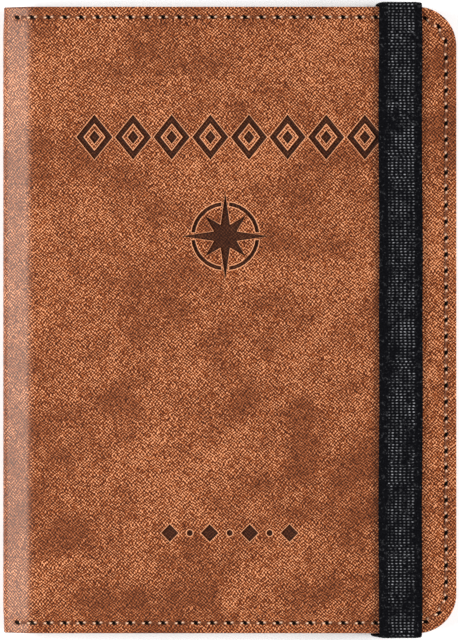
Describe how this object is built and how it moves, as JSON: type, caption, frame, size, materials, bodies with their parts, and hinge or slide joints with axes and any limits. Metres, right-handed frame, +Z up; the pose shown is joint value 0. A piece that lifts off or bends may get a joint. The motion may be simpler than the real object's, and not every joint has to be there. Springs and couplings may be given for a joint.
{
  "type": "passport holder",
  "caption": "Bifold leather passport holder with a stitched edge, pressed geometric ornament, inner passport and card pockets, and an elastic closing band.",
  "frame": {"origin": "middle of the closed holder's underside, on the table", "axes": "+X from the spine to the fore edge, +Y from the bottom edge to the top edge, +Z up through the thickness, out of the front cover"},
  "size_m": [0.104, 0.1458, 0.0114],
  "materials": {
    "cover_leather": "matt aniline, mottled tan and brown, fine cross grain",
    "pocket_leather": "matt, fine grain",
    "lining_fabric": "fine plain weave",
    "stiffener_board": "matt grey-brown board",
    "shield_foil": "satin foil",
    "elastic": "ribbed black woven elastic",
    "thread": "waxed tan polyester thread"
  },
  "bodies": {
    "back_cover": {"back_cover_leather": "cover_leather", "back_seam_thread": "thread", "back_board": "stiffener_board", "back_shield": "shield_foil", "back_lining": "lining_fabric", "sleeve_filler_fore": "pocket_leather", "sleeve_filler_top": "pocket_leather", "sleeve_filler_bottom": "pocket_leather", "passport_sleeve": "pocket_leather", "sim_pocket": "pocket_leather", "band_top_tail": "elastic", "band_bottom_tail": "elastic", "band_top_wrap": "elastic", "band_bottom_wrap": "elastic"},
    "spine_lower": {"spine_lower_leather": "cover_leather", "spine_lower_lining": "lining_fabric", "spine_lower_thread": "thread"},
    "spine_middle": {"spine_middle_leather": "cover_leather", "spine_middle_lining": "lining_fabric"},
    "spine_upper": {"spine_upper_leather": "cover_leather", "spine_upper_lining": "lining_fabric", "spine_upper_thread": "thread"},
    "front_cover": {"front_cover_leather": "cover_leather", "front_seam_thread": "thread", "front_board": "stiffener_board", "front_shield": "shield_foil", "front_lining": "lining_fabric", "slip_pocket": "pocket_leather", "card_slot_1": "pocket_leather", "card_slot_2": "pocket_leather", "card_slot_3": "pocket_leather"},
    "band": {"band_front_run": "elastic"}
  },
  "joints": [
    {"name": "back_crease", "type": "hinge", "parent": "back_cover", "child": "spine_lower", "pos_m": [-0.0456, 0, 0.0004], "axis": [0, -1, 0], "range_deg": [0, 30], "deforming": ["band_front_run"]},
    {"name": "lower_crease", "type": "hinge", "parent": "spine_lower", "child": "spine_middle", "pos_m": [-0.0516, 0, 0.00386], "axis": [0, -1, 0], "range_deg": [0, 60]},
    {"name": "upper_crease", "type": "hinge", "parent": "spine_middle", "child": "spine_upper", "pos_m": [-0.0516, 0, 0.00654], "axis": [0, -1, 0], "range_deg": [0, 60]},
    {"name": "front_crease", "type": "hinge", "parent": "spine_upper", "child": "front_cover", "pos_m": [-0.0456, 0, 0.01], "axis": [0, -1, 0], "range_deg": [0, 30]},
    {"name": "band_release", "type": "slide", "parent": "back_cover", "child": "band", "axis": [0.8, 0, 0.6], "range_m": [0, 0.024], "stiffness_N_per_m": 100, "deforming": ["band_front_run"]}
  ],
  "couplings": [
    {"joint": "lower_crease", "follows": "back_crease", "ratio": 2},
    {"joint": "upper_crease", "follows": "back_crease", "ratio": 2},
    {"joint": "front_crease", "follows": "back_crease", "ratio": 1}
  ]
}
